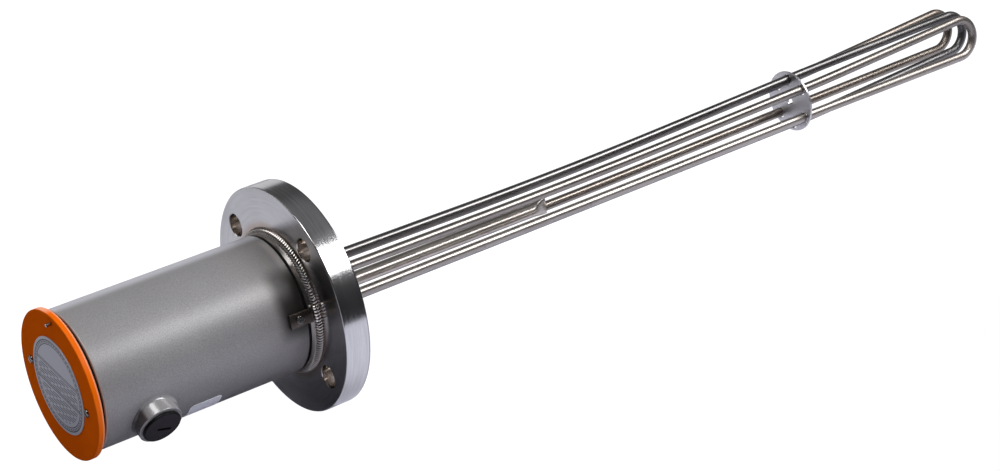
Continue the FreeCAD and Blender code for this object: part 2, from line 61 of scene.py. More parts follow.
class Wire:
    """One socket of a node tree. Plain sums with it add the Math nodes."""

    def __init__(self, nodes, socket):
        self.nodes = nodes
        self.socket = socket

    def of(self, output):
        """Another output of the same node."""
        return Wire(self.nodes, self.socket.node.outputs[output])

    def maths(self, operation, *others):
        """Math node with this socket first."""
        return self.nodes.maths(operation, self, *others)

    def smooth(self, low, high):
        """0 below low, 1 above high, and a soft step between."""
        return self.nodes.add("ShaderNodeMapRange", {"Value": self, "From Min": low, "From Max": high},
                              {"interpolation_type": "SMOOTHSTEP"})

    def blend(self, first, second):
        """Colour between two colours, with this socket as the share of the second."""
        return self.nodes.add("ShaderNodeMix", {0: self, 6: first, 7: second}, {"data_type": "RGBA"}, output=2)

    def __add__(self, other):
        return self.maths("ADD", other)

    def __sub__(self, other):
        return self.maths("SUBTRACT", other)

    def __rsub__(self, other):
        return self.nodes.maths("SUBTRACT", other, self)

    def __mul__(self, other):
        return self.maths("MULTIPLY", other)

    def __truediv__(self, other):
        return self.maths("DIVIDE", other)

    def __rtruediv__(self, other):
        return self.nodes.maths("DIVIDE", other, self)

    def __pow__(self, other):
        return self.maths("POWER", other)

    def __gt__(self, other):
        return self.maths("GREATER_THAN", other)

    def __lt__(self, other):
        return self.maths("LESS_THAN", other)

    def __abs__(self):
        return self.maths("ABSOLUTE")

    __radd__ = __add__
    __rmul__ = __mul__


class Nodes:
    """A node tree that is filled one node at a time."""

    def __init__(self, tree):
        self.tree = tree
        tree.nodes.clear()

    def add(self, kind, inputs=None, settings=None, output=0):
        """New node, with values or links for its inputs. Its settings are made first."""
        node = self.tree.nodes.new(kind)
        for key, value in (settings or {}).items():
            setattr(node, key, value)
        for key, value in (inputs or {}).items():
            self.feed(node.inputs[key], value)
        return Wire(self, node.outputs[output] if node.outputs else None)

    def feed(self, port, value):
        """Link a socket to a port, or set the port to a plain value."""
        if isinstance(value, Wire):
            self.tree.links.new(value.socket, port)
        else:
            port.default_value = (*value, 1.0) if port.type == "RGBA" and len(value) == 3 else value

    def maths(self, operation, *values):
        return self.add("ShaderNodeMath", dict(enumerate(values)), {"operation": operation})

    def split(self, vector):
        """The X, Y and Z of a vector."""
        x = self.add("ShaderNodeSeparateXYZ", {0: vector})
        return x, x.of("Y"), x.of("Z")

    def joined(self, x, y, z):
        return self.add("ShaderNodeCombineXYZ", {0: x, 1: y, 2: z})

    def noise(self, place, scale, detail=2.0, roughness=0.5):
        return self.add("ShaderNodeTexNoise", {
            "Vector": place, "Scale": scale, "Detail": detail, "Roughness": roughness})


class Finish(Nodes):
    """A material with one Principled shader. Indexing it feeds the shader's sockets."""

    def __init__(self, name, **values):
        self.material = bpy.data.materials.new(name)
        self.material.use_nodes = True
        super().__init__(self.material.node_tree)
        shader = self.add("ShaderNodeBsdfPrincipled")
        self.shader = shader.socket.node
        for key, value in values.items():
            self[key.replace("_", " ")] = value
        self.add("ShaderNodeOutputMaterial", {"Surface": shader})
        self.place = self.add("ShaderNodeTexCoord", output="Object")
        self.x, self.y, self.z = self.split(self.place)

    def __setitem__(self, key, value):
        self.feed(self.shader.inputs[key], value)

    def bump(self, height, distance):
        """Relief from a height in 0..1, its full depth given in metres."""
        self["Normal"] = self.add("ShaderNodeBump", {"Height": height, "Distance": distance})

    def grain(self, scale, detail, roughness, along=1.0):
        """Noise over the piece itself, drawn out along X where along is under 1."""
        place = self.place
        if along < 1.0:
            squeezed = {0: place, 1: (along, 1.0, 1.0)}
            place = self.add("ShaderNodeVectorMath", squeezed, {"operation": "MULTIPLY"})
        return self.noise(place, scale, detail, roughness)

    def radius(self):
        """Distance from the heater's axis, in metres."""
        return (self.y * self.y + self.z * self.z) ** 0.5

    def angle(self):
        """Angle round the heater's axis, in radians."""
        return self.z.maths("ARCTAN2", self.y)

    def reach(self, angle):
        """Distance from the axis towards an angle in degrees round it, in metres."""
        turn = radians(angle)
        return self.y * cos(turn) + self.z * sin(turn)

    def towards(self, angle, low, high):
        """1 on the side at an angle round the axis and 0 away from it, between two cosines."""
        return (self.reach(angle) / self.radius()).smooth(low, high)


def around(radius, angle, x=0.0):
    """Point at a radius and an angle in degrees round the axis."""
    turn = radians(angle)
    return Vector((x, radius * cos(turn), radius * sin(turn)))


def softened(corners, steps):
    """Points of a closed outline in which each corner (x, y, reach) is rounded over its reach.

    A point just beside the rounding on either side keeps the flats flat when the mesh is shaded smooth.
    """
    beside = 1.12
    shares = [((1 - step / steps) ** 2, (step / steps) ** 2) for step in range(steps + 1)]
    shares = [(beside, 0.0)] + shares + [(0.0, beside)]
    points = []
    places = [Vector(corner[:2]) for corner in corners]
    for index, corner in enumerate(corners):
        if len(corner) < 3:
            points.append(corner)
            continue
        before = (places[index - 1] - places[index]).normalized() * corner[2]
        after = (places[(index + 1) % len(places)] - places[index]).normalized() * corner[2]
        points += [tuple(places[index] + (before * back + after * on)) for back, on in shares]
    return points


def turned(corners, facets=256, centre=(0, 0, 0), axis=(1, 0, 0), steps=5):
    """Closed mesh turned round an axis from the (along, radius) corners of a closed outline, softened."""
    axis = Vector(axis).normalized()
    side = Vector((0, 1, 0)) if abs(axis.x) > 0.9 else axis.orthogonal().normalized()
    across = axis.cross(side)
    form = bmesh.new()
    rings = []
    turns = [2 * pi * step / facets for step in range(facets)]
    for along, radius in softened(corners, steps):
        base = Vector(centre) + axis * along
        if radius < 1e-6:
            rings.append([form.verts.new(base * mm)])
            continue
        rings.append([form.verts.new((base + side * (radius * cos(turn)) + across * (radius * sin(turn))) * mm)
                      for turn in turns])
    for ring, after in zip(rings, rings[1:] + rings[:1]):
        if len(ring) == 1 and len(after) == 1:
            continue
        for step in range(facets):
            face = [ring[step % len(ring)], ring[(step + 1) % len(ring)],
                    after[(step + 1) % len(after)], after[step % len(after)]]
            form.faces.new(list(dict.fromkeys(face)))
    return closed_mesh(form)


def closed_mesh(form):
    """Mesh from a bmesh, merged, with its faces outwards."""
    bmesh.ops.remove_doubles(form, verts=form.verts, dist=1e-7)
    bmesh.ops.recalc_face_normals(form, faces=form.faces)
    mesh = bpy.data.meshes.new("form")
    form.to_mesh(mesh)
    form.free()
    return mesh


def placed(name, data):
    """New object in the scene."""
    thing = bpy.data.objects.new(name, data)
    bpy.context.scene.collection.objects.link(thing)
    return thing


def evaluated(mesh, kind, **settings):
    """A copy of a mesh with one modifier applied."""
    holder = placed("holder", mesh)
    modifier = holder.modifiers.new("change", kind)
    for key, value in settings.items():
        if key.startswith("Socket"):
            modifier[key] = value
        else:
            setattr(modifier, key, value)
    layer = bpy.context.evaluated_depsgraph_get()
    result = bpy.data.meshes.new_from_object(holder.evaluated_get(layer), depsgraph=layer)
    bpy.data.objects.remove(holder)
    return result


def cut(mesh, tool):
    """A mesh with another taken out of it."""
    cutter = placed("cutter", tool)
    result = evaluated(mesh, "BOOLEAN", operation="DIFFERENCE", solver="EXACT", object=cutter)
    bpy.data.objects.remove(cutter)
    return result


def piece(name, mesh, finish, crease=30.0):
    """Object at the origin with one finish, smooth up to an angle between its faces."""
    mesh.name = name
    mesh.materials.clear()
    mesh.materials.append(finish)
    mesh.shade_smooth()
    mesh.set_sharp_from_angle(angle=radians(crease))
    return placed(name, mesh)


class Pattern(Nodes):
    """A geometry node tree with named inputs. The first is the mesh that it works on."""

    kinds = {int: "NodeSocketInt", float: "NodeSocketFloat"}

    def __init__(self, name, **inputs):
        super().__init__(bpy.data.node_groups.new(name, "GeometryNodeTree"))
        face = self.tree.interface
        face.new_socket("Geometry", in_out="OUTPUT", socket_type="NodeSocketGeometry")
        face.new_socket("Geometry", in_out="INPUT", socket_type="NodeSocketGeometry")
        self.sockets = {}
        for key, kind in inputs.items():
            self.sockets[key] = face.new_socket(key, in_out="INPUT", socket_type=self.kinds[kind]).identifier
        material = face.new_socket("Material", in_out="INPUT", socket_type="NodeSocketMaterial")
        self.sockets["Material"] = material.identifier
        self.entry = self.add("NodeGroupInput")

    def given(self, key):
        """One of the tree's inputs."""
        return self.entry.of(key)

    def close(self, geometry):
        """End the tree: real copies, then the finish."""
        real = self.add("GeometryNodeRealizeInstances", {0: geometry})
        dressed = self.add("GeometryNodeSetMaterial", {0: real, "Material": self.given("Material")})
        self.add("NodeGroupOutput", {0: dressed})

    def made(self, mesh, **values):
        """Plain mesh that the tree makes from a mesh."""
        settings = {self.sockets[key]: value for key, value in values.items()}
        return evaluated(mesh, "NODES", node_group=self.tree, **settings)


round_the_axis = Pattern("Round the axis", Copies=int)
copy_points = round_the_axis.add("GeometryNodePoints", {"Count": round_the_axis.given("Copies")})
copy_step = 2 * pi / round_the_axis.given("Copies")
copy_turn = round_the_axis.joined(round_the_axis.add("GeometryNodeInputIndex") * copy_step, 0.0, 0.0)
round_the_axis.close(round_the_axis.add("GeometryNodeInstanceOnPoints", {
    "Points": copy_points, "Instance": round_the_axis.given("Geometry"), "Rotation": copy_turn}))


def turned_steel(name, colour, roughness):
    """Turned stainless steel: fine lines round the axis, a little uneven in tone and gloss."""
    steel = Finish(name, Metallic=1.0)
    radius = steel.radius()
    facing = steel.split(steel.add("ShaderNodeNewGeometry", output="Normal"))
    flat = abs(facing[0]).smooth(0.6, 0.8)
    turns = steel.joined(steel.x * (1 - flat) + radius * flat, steel.angle() * 0.004, 0.0)
    lines = steel.noise(turns, 2200.0, 3.0, 0.6)
    broad = steel.noise(turns, 560.0, 3.0, 0.6)
    cloud = steel.grain(28.0, 3.0, 0.6)
    dull, bright = tuple(c * 0.86 for c in colour), tuple(min(1.0, c * 1.08) for c in colour)
    steel.tone = (cloud * 0.35 + broad * 0.65).smooth(0.3, 0.7).blend(dull, bright)
    steel["Base Color"] = steel.tone
    steel["Roughness"] = (roughness + 0.08 * (lines - 0.5) + 0.12 * (broad - 0.5) + 0.08 * (cloud - 0.5)
                          + flat * 0.04)
    steel.bump(lines * 0.94 + broad * 0.06, 0.000003)
    return steel


flange_steel = turned_steel("turned_flange_steel", (0.615, 0.61, 0.62), 0.17)
heat_edge = 0.004 * (flange_steel.grain(90.0, 2.0, 0.5) - 0.5)
heat_reach = flange_steel.radius() + heat_edge - 0.0355 * (flange_steel.x < -0.012)
heat_tint = heat_reach.smooth(0.0265, 0.034)
bolt_place = around(bolt_circle_radius, first_bolt_angle)
hole_y = abs(flange_steel.y) - bolt_place.y * mm
hole_z = abs(flange_steel.z) - bolt_place.z * mm
hole_reach = (hole_y ** 2 + hole_z ** 2) ** 0.5
hole_tint = hole_reach.smooth(0.0096, 0.0101)
# Painted reflection: a darker line along the rim's front edge, standing in for the dark line that the rounded
# edge mirrors.
front_edge_painted_shade = flange_steel.x.smooth(-0.0032, -0.0026) * (flange_steel.radius() > 0.0942) * 0.8
flange_tone = front_edge_painted_shade.blend(flange_steel.tone, (0.24, 0.235, 0.25))
flange_tone = heat_tint.blend((0.48, 0.40, 0.355), flange_tone)
flange_steel["Base Color"] = hole_tint.blend((0.50, 0.455, 0.415), flange_tone)

flange_disc = turned([
    (flange_back_x, 0), (flange_back_x, flange_radius, 1.0), (flange_face_x, flange_radius, 1.0),
    (flange_face_x, sealing_ring_radius), (0, sealing_ring_radius, 0.3), (0, sealing_ring_bore),
    (recess_x, sealing_ring_bore), (recess_x, 0)], 360)
bolt_hole_mouth = bolt_hole_radius + bolt_hole_chamfer + 1
bolt_hole = turned([(flange_back_x - 1, 0), (flange_back_x - 1, bolt_hole_mouth),
                    (flange_back_x + bolt_hole_chamfer, bolt_hole_radius),
                    (flange_face_x - bolt_hole_chamfer, bolt_hole_radius),
                    (flange_face_x + 1, bolt_hole_mouth), (flange_face_x + 1, 0)], 64, bolt_place)
bolt_holes = round_the_axis.made(bolt_hole, Copies=4)
flange = piece("turned_flange", cut(flange_disc, bolt_holes), flange_steel.material)
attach(flange, "root")
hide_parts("flange")


# Collar: a short ring of the same steel, welded to the back of the flange, with a thinner spigot that
# carries the housing. Only the ring's edge shows, between the weld and the black gasket.
collar_radius = 57.5
collar_bore = 51.5
collar_back_x = -31.6
spigot_radius = 54.8
spigot_bore = 51.8
spigot_root_x = -32.2
spigot_back_x = -38.8
collar_steel = turned_steel("collar_steel", (0.42, 0.40, 0.385), 0.3)
collar = piece("collar_ring", turned([
    (spigot_back_x, spigot_bore), (spigot_back_x, spigot_radius), (collar_back_x, spigot_radius),
    (collar_back_x, collar_radius), (flange_back_x, collar_radius), (flange_back_x, collar_bore),
    (spigot_root_x, collar_bore), (spigot_root_x, spigot_bore)]), collar_steel.material)
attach(collar, "root")
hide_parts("collar")


# Collar weld: a hand-laid fillet bead between the flange and the collar, built up of crescent ripples
# about 2.5 mm apart that overlap all the way round.
def bead_mesh(root_radius, leg, crown, facets, centre, towards):
    """Fillet bead round an axis, its foot on a plane and its other edge on a tube, before it is rippled."""
    sunk = 0.2
    steps = 16
    outline = [(0.0, root_radius - sunk)]
    for step in range(steps + 1):
        swing = radians(90 * (1 - step / steps))
        straight = leg / (cos(swing) + sin(swing))
        reach = straight + crown * sin(2 * swing)
        outline.append((reach * cos(swing), root_radius + reach * sin(swing)))
    outline.append((leg * 0.9, root_radius - sunk))
    return turned(outline, facets, centre, towards)


weld_ripples = Pattern("Weld ripples", Ripples=float, Depth=float, Root=float, Side=float, FootX=float)
bead_place = weld_ripples.add("GeometryNodeInputPosition")
bead_x, bead_y, bead_z = weld_ripples.split(bead_place)
bead_radius = (bead_y * bead_y + bead_z * bead_z) ** 0.5
bead_round = bead_z.maths("ARCTAN2", bead_y) / (2 * pi)
bead_rise = (bead_x - weld_ripples.given("FootX")) * weld_ripples.given("Side")
bead_out = bead_radius - weld_ripples.given("Root")
bead_across = bead_out.maths("ARCTAN2", bead_rise) * (4 / pi) - 1
bead_noise = weld_ripples.noise(bead_place, 160.0, 1.0)
bead_phase = bead_round * weld_ripples.given("Ripples") + 0.6 * bead_across * bead_across + 0.3 * bead_noise
bead_wave = 1 - (2 * bead_phase.maths("FRACT") ** 0.7 - 1) ** 2
bead_swell = (1 - 0.6 * bead_across * bead_across).maths("MAXIMUM", 0.0)
bead_height = bead_wave * bead_swell - 0.75 + 0.25 * (bead_noise - 0.5)
bead_push = weld_ripples.add("ShaderNodeVectorMath", {
    0: weld_ripples.add("GeometryNodeInputNormal"), "Scale": bead_height * weld_ripples.given("Depth")},
    {"operation": "SCALE"})
bead_marked = weld_ripples.add("GeometryNodeStoreNamedAttribute", {
    "Geometry": weld_ripples.given("Geometry"), "Name": "groove", "Value": 1 - bead_wave})
weld_ripples.close(weld_ripples.add("GeometryNodeSetPosition", {"Geometry": bead_marked, "Offset": bead_push}))


def weld_metal(name, colour, roughness=0.08):
    """Bare weld metal, bright on the ripples and a little brown between them."""
    metal = Finish(name, Metallic=1.0)
    grain = metal.grain(900.0, 3.0, 0.6)
    tint = metal.grain(60.0, 2.0, 0.5)
    groove = metal.add("ShaderNodeAttribute", settings={"attribute_name": "groove"}, output="Fac")
    soot = groove.smooth(0.1, 0.6)
    bright = tint.blend(tuple(c * 0.8 for c in colour), colour)
    metal["Base Color"] = (soot * 0.75).blend(bright, (0.05, 0.037, 0.03))
    metal["Roughness"] = roughness + 0.06 * grain + 0.1 * soot
    metal.bump(grain, 0.00001)
    return metal.material


collar_bead = weld_ripples.made(
    bead_mesh(collar_radius, leg=4.9, crown=0.6, facets=1800, centre=(flange_back_x, 0, 0), towards=(-1, 0, 0)),
    Ripples=150.0, Depth=1.0 * mm, Root=collar_radius * mm, Side=-1.0, FootX=flange_back_x * mm)
collar_weld = piece(
    "collar_weld_bead", collar_bead, weld_metal("collar_weld_metal", (0.62, 0.58, 0.55), 0.1), 60)
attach(collar_weld, "root")
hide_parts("collar_weld")


# Gaskets: flat black rubber rings at either end of the terminal housing. They are set a little inside
# the metal, so that they show as dark lines.
housing_front_x = -34.0
housing_back_x = -214.1
lid_inner_x = -218.0
housing_gasket_radius = 55.8
lid_gasket_radius = 55.4
lid_gasket_bore = 52.5
rubber = Finish("gasket_rubber", Specular_IOR_Level=0.1)
rubber_grain = rubber.grain(1400.0, 3.0, 0.6)
rubber["Base Color"] = rubber_grain.blend((0.004, 0.004, 0.004), (0.014, 0.0135, 0.013))
rubber["Roughness"] = 0.6 + 0.25 * rubber_grain
rubber.bump(rubber_grain, 0.00005)


def gasket_ring(low, high, inner, outer, reach):
    """Flat ring with rounded edges between two places along the axis."""
    corners = (low, inner), (low, outer), (high, outer), (high, inner)
    return turned([(*corner, reach) for corner in corners], steps=3)


housing_gasket = piece("housing_gasket_ring", gasket_ring(
    housing_front_x, collar_back_x, spigot_radius, housing_gasket_radius, 0.3), rubber.material)
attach(housing_gasket, "root")
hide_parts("housing_gasket")
lid_gasket = piece("lid_gasket_ring", gasket_ring(
    lid_inner_x, housing_back_x, lid_gasket_bore, lid_gasket_radius, 0.4), rubber.material)
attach(lid_gasket, "root")
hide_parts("lid_gasket")


# Terminal housing: a length of steel tube in satin silver-grey paint. The paint has a fine speckled
# skin. Its colour also carries painted light: painted shade and reflection of the flange near the flange
# end, a painted highlight beside it, a painted sheen along the top, and a painted highlight line at the
# rounded end by the lid.
housing_radius = 57.5
housing_bore = 55.0


def grey_paint(name, light, dark, roughness):
    """Satin grey paint with a fine grain."""
    paint = Finish(name, Metallic=0.15)
    speck = paint.grain(1050.0, 2.0, 0.6)
    grain = paint.grain(420.0, 3.0, 0.55)
    cloud = paint.grain(14.0, 2.0, 0.5)
    paint.tone = (speck * 0.7 + cloud * 0.3).smooth(0.3, 0.7).blend(dark, light)
    paint["Base Color"] = paint.tone
    paint["Roughness"] = roughness + 0.12 * (grain - 0.5)
    paint.bump(speck * 0.6 + grain * 0.4, 0.00012)
    return paint


housing_paint = grey_paint("housing_grey_paint", (0.315, 0.308, 0.312), (0.222, 0.217, 0.226), 0.39)
# Painted shade and reflection: the flange end is darkened brown, standing in for the flange's shadow and its
# dark face mirrored in the paint.
flange_end_painted_shade = housing_paint.x.smooth(-0.100, -0.036) * 0.32
# Painted shadow: a near-black patch next to the flange, beside the lug, where the flange's shade and dark
# reflection fall.
painted_flange_shadow = housing_paint.x.smooth(-0.063, -0.0485) * housing_paint.towards(163, 0.82, 0.97) * 0.97
# Painted highlight: a lighter patch next to the flange, on the upper side, standing in for the bright rim
# mirrored in the paint.
painted_glint_near_flange = housing_paint.x.smooth(-0.042, -0.037) * housing_paint.towards(118, 0.93, 0.99) * 0.5
# Painted sheen: the top of the housing is made lighter and bluer, standing in for the bright room mirrored at a
# grazing angle.
painted_top_sheen = housing_paint.towards(72, 0.91, 0.98)
# Painted highlight: a light line on the rounded end of the housing by the lid.
lid_end_painted_highlight = (housing_paint.x * -1).smooth(0.2131, 0.2137) * 0.6
for share, shade in ((flange_end_painted_shade, (0.20, 0.172, 0.155)), (painted_flange_shadow, (0.016, 0.013, 0.011)),
                     (painted_glint_near_flange, (0.46, 0.43, 0.41)), (painted_top_sheen, (0.49, 0.485, 0.535)),
                     (lid_end_painted_highlight, (0.50, 0.49, 0.495))):
    housing_paint.tone = share.blend(housing_paint.tone, shade)
housing_paint["Base Color"] = housing_paint.tone
housing = piece("housing_tube", turned([
    (housing_front_x, housing_bore), (housing_front_x, housing_radius, 0.5),
    (housing_back_x, housing_radius, 1.0), (housing_back_x, housing_bore)]), housing_paint.material)
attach(housing, "root")
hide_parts("terminal_housing")


# Cable entry boss: a threaded steel socket, welded to the housing and painted with it. The paint is
# smoother here, and flows into the corner at its foot.
boss_x = -172.0
boss_angle = 215.0
boss_out = around(1.0, boss_angle)
boss_round = around(1.0, boss_angle + 90.0)
boss_radius = 18.55
boss_bore = 12.5
boss_root = 53.0
boss_rim = 66.7
boss_paint = grey_paint("boss_grey_paint", (0.31, 0.303, 0.308), (0.25, 0.245, 0.252), 0.24)
boss_paint["Coat Weight"] = 0.5
boss_paint["Coat Roughness"] = 0.12
# Painted shade: the side of the boss's wall that faces towards the lid, away from the softbox, is darkened
# almost to black.
boss_side = (boss_x * mm - boss_paint.x) * 0.82 + boss_paint.reach(boss_angle + 90.0) * 0.57
boss_wall = boss_paint.reach(boss_angle) < (boss_rim - 0.6) * mm
boss_painted_shade = boss_side.smooth(0.0005, 0.0045) * boss_wall
boss_paint["Base Color"] = (boss_painted_shade * 0.9).blend(boss_paint.tone, (0.022, 0.018, 0.018))
boss = piece("boss_socket", turned([
    (boss_root, boss_bore), (boss_root, boss_radius), (boss_rim, boss_radius, 0.8), (boss_rim, boss_bore, 0.5)],
    128, (boss_x, 0, 0), boss_out), boss_paint.material)
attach(boss, "root")
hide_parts("cable_entry_boss")


def saddle_fillet(leg, facets, steps):
    """Hollow bead in the corner between the boss and the curved housing."""
    inset = 0.4
    sunk = 0.6
    form = bmesh.new()
    rings = []
    for facet in range(facets):
        turn = 2 * pi * facet / facets
        way = Vector((cos(turn), 0, 0)) + boss_round * sin(turn)

        def skin(reach, lift):
            height = sqrt(housing_radius ** 2 - (reach * sin(turn)) ** 2) + lift
            return (Vector((boss_x, 0, 0)) + way * reach + boss_out * height) * mm

        ring = [skin(boss_radius - inset, -sunk), skin(boss_radius - inset, leg)]
        for step in range(steps + 1):
            swing = radians(90 * step / steps)
            ring.append(skin(boss_radius + leg * (1 - cos(swing)), leg * (1 - sin(swing))))
        ring.append(skin(boss_radius + leg, -sunk))
        rings.append([form.verts.new(place) for place in ring])
    for ring, after in zip(rings, rings[1:] + rings[:1]):
        for step in range(len(ring)):
            form.faces.new([ring[step], ring[step - 1], after[step - 1], after[step]])
    return closed_mesh(form)


boss_weld = piece("boss_foot_bead", saddle_fillet(leg=2.0, facets=128, steps=8), boss_paint.material, 50)
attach(boss_weld, "root")
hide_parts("boss_weld")


# Blanking plug: a black moulded plastic plug with a thin round head, a rounded rim and a straight slot,
# screwed into the boss over a thin seal.
plug_face = 69.2
plug_head_seat = 67.2
plug_head_radius = 15.9
plug_shank_end = 60.2
plug_shank_radius = 12.4
plug_hollow_floor = 65.2
plug_hollow_radius = 10.4
plug_slot_size = 13.0, 2.6, 4.4
plug_slot_shift = Vector((1.5, 0, 0)) + boss_round * 3.1
plug_slot_turn = radians(20.0)
plastic = Finish("plug_black_plastic", Specular_IOR_Level=0.14)
plug_grain = plastic.grain(1800.0, 2.0, 0.5)
plug_round = plastic.reach(boss_angle + 90.0)
plug_reach = ((plastic.x - boss_x * mm) ** 2 + plug_round * plug_round) ** 0.5
# Painted shade: the outer rim of the head is near black, standing in for the shadowed gap between the head and
# the boss's rim.
plug_rim_painted_shade = plug_reach > (plug_head_radius - 1.2) * mm
plug_black = plug_grain.blend((0.016, 0.0135, 0.017), (0.029, 0.025, 0.031))
plastic["Base Color"] = plug_rim_painted_shade.blend(plug_black, (0.002, 0.002, 0.002))
plastic["Roughness"] = 0.34 + 0.12 * plug_grain
plastic.bump(plug_grain, 0.00003)


def box_mesh(length, width, depth, centre, along, up):
    """Block centred on a point, with its length along one way and its depth along another."""
    form = bmesh.new()
    bmesh.ops.create_cube(form, size=1.0)
    along, up = Vector(along).normalized(), Vector(up).normalized()
    across = up.cross(along)
    turn = Matrix((along * length, across * width, up * depth)).transposed().to_4x4()
    form.transform(Matrix.Scale(mm, 4) @ Matrix.Translation(centre) @ turn)
    return closed_mesh(form)


plug_slot = box_mesh(*plug_slot_size, Vector((boss_x, 0, 0)) + boss_out * plug_face + plug_slot_shift,
                     Vector((cos(plug_slot_turn), 0, 0)) + boss_round * sin(plug_slot_turn), boss_out)
plug_body = turned([
    (plug_shank_end, plug_hollow_radius), (plug_shank_end, plug_shank_radius),
    (plug_head_seat, plug_shank_radius), (plug_head_seat, plug_head_radius, 0.3),
    (plug_face, plug_head_radius, 0.7), (plug_face, 0), (plug_hollow_floor, 0),
    (plug_hollow_floor, plug_hollow_radius)], 128, (boss_x, 0, 0), boss_out)
plug = piece("blanking_plug_head", cut(plug_body, plug_slot), plastic.material)
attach(plug, "root")
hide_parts("blanking_plug")
plug_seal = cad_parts["plug_seal"]
plug_seal.data.materials.clear()
plug_seal.data.materials.append(rubber.material)


# Lid: a thick steel disc with a rounded edge in orange powder coat. The coat is flat on the face, with a
# slight orange-peel skin, and glossier round the rim. The rim's colour is painted a fuller, brighter
# orange than the face as painted light, and a pale painted highlight runs along its top and back edge.
lid_outer_x = -223.4
lid_radius = 61.5
lid_coat = Finish("lid_orange_coat", Specular_IOR_Level=0.0, Coat_Roughness=0.28)
lid_peel = lid_coat.grain(520.0, 2.0, 0.5)
lid_cloud = lid_coat.grain(30.0, 2.0, 0.5)
lid_rim = lid_coat.x.smooth(-0.2231, -0.2225)
# Painted highlight: a pale peach line along the rim's back edge and along the top of the rim.
lid_back_edge_highlight = lid_coat.x.smooth(-0.2195, -0.2189) * 0.65
lid_painted_highlight = lid_back_edge_highlight.maths("MAXIMUM", lid_coat.towards(78, 0.93, 0.99) * 0.9) * lid_rim
lid_face = lid_cloud.blend((0.61, 0.094, 0.0017), (0.69, 0.113, 0.0024))
# Painted light: the rim gets a brighter, fuller orange than the face, a lit copy of the same coat.
lid_painted_light_tone = lid_rim.blend(lid_face, (0.86, 0.146, 0.0018))
lid_coat["Base Color"] = lid_painted_highlight.blend(lid_painted_light_tone, (1.0, 0.42, 0.24))
lid_coat["Coat Weight"] = 0.22 * lid_rim
lid_coat["Roughness"] = 0.34 + 0.1 * lid_peel
lid_coat.bump(lid_peel, 0.00006)
lid = piece("lid_disc", turned([
    (lid_inner_x, 0), (lid_inner_x, lid_radius, 0.4), (lid_outer_x, lid_radius, 1.1), (lid_outer_x, 0)]),
    lid_coat.material)
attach(lid, "root")
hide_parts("lid")


# Nameplate: a thin metal disc glued to the lid. It is printed with two rings, two double rules and rows of
# plain bars, and carries no words.
plate_radius = 40.2
plate_outer_x = lid_outer_x - 0.6
plate_tilt = 15.0
plate_metal = Finish("nameplate_satin_metal", Metallic=0.55)
plate_r = plate_metal.radius()
plate_across = plate_metal.reach(plate_tilt + 90.0)
plate_along = plate_metal.reach(plate_tilt)
plate_rings = [(abs(plate_r - ring) < width) for ring, width in ((0.0374, 0.0005), (0.0341, 0.0004))]
plate_rules = [(abs(plate_across - rule) < width) * (plate_r < 0.0341)
               for rule, width in ((0.0127, 0.0004), (0.0110, 0.0004), (-0.0055, 0.0005), (-0.0073, 0.0005))]
plate_rows = plate_across * 420.0
plate_row = plate_rows.maths("FLOOR")
plate_dashes = plate_along * 62.0 + plate_row * 0.37
plate_bars = ((abs(plate_rows - plate_row - 0.5) < 0.25) * (plate_dashes.maths("FRACT") < 0.8)
              * (plate_r < 0.031) * (plate_across < 0.0096) * (abs(plate_across + 0.0064) > 0.0024))
plate_ticks = plate_metal.angle() * 9.5
plate_bars = plate_bars + (abs(plate_r - 0.0358) < 0.0007) * (plate_ticks.maths("FRACT") < 0.7)
plate_ink = plate_bars * 0.85
for mark in plate_rings + plate_rules:
    plate_ink = plate_ink.maths("MAXIMUM", mark)
plate_grain = plate_metal.grain(1600.0, 2.0, 0.5)
plate_metal["Base Color"] = plate_ink.blend((0.38, 0.385, 0.43), (0.03, 0.028, 0.031))
plate_metal["Roughness"] = 0.36 + 0.12 * plate_grain
plate_metal.bump(plate_grain, 0.00001)
nameplate = piece("nameplate_disc", turned([
    (lid_outer_x, 0), (lid_outer_x, plate_radius), (plate_outer_x, plate_radius, 0.2), (plate_outer_x, 0)]),
    plate_metal.material)
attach(nameplate, "root")
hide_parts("nameplate")


# Lid screws and stud: two zinc-plated slotted screws beside the nameplate, and a small plain stud near
# the lid's rim.
lid_screw_circle_radius = 44.7
lid_screw_angle = 15.0
lid_screw_slot_angle = 60.0
stud_circle_radius = 56.0
stud_angle = 104.0
stud_radius = 1.4
stud_root_x = lid_outer_x + 3.5
stud_tip_x = lid_outer_x - 4.7


def zinc(name, colour=(0.62, 0.61, 0.58), roughness=0.22):
    """Bright zinc plating, slightly mottled."""
    plating = Finish(name, Metallic=1.0)
    mottle = plating.grain(700.0, 3.0, 0.6)
    plating["Base Color"] = mottle.blend(tuple(c * 0.75 for c in colour), colour)
    plating["Roughness"] = roughness + 0.16 * (mottle - 0.5)
    plating.bump(mottle, 0.00003)
    return plating.material


def slotted_screw(seat, up, slot_way, head_radius, head_height, shank_length):
    """Cheese-head screw with its seat on a point and its head along up."""
    shank_radius = 2.0
    slot_width = 1.3
    slot_depth = 2.2
    body = turned([
        (-shank_length, 0), (-shank_length, shank_radius, 0.4), (0, shank_radius), (0, head_radius, 0.2),
        (head_height, head_radius, 1.2), (head_height, 0)], 64, seat, up)
    return cut(body, box_mesh(3 * head_radius, slot_width, slot_depth, seat + up * head_height, slot_way, up))


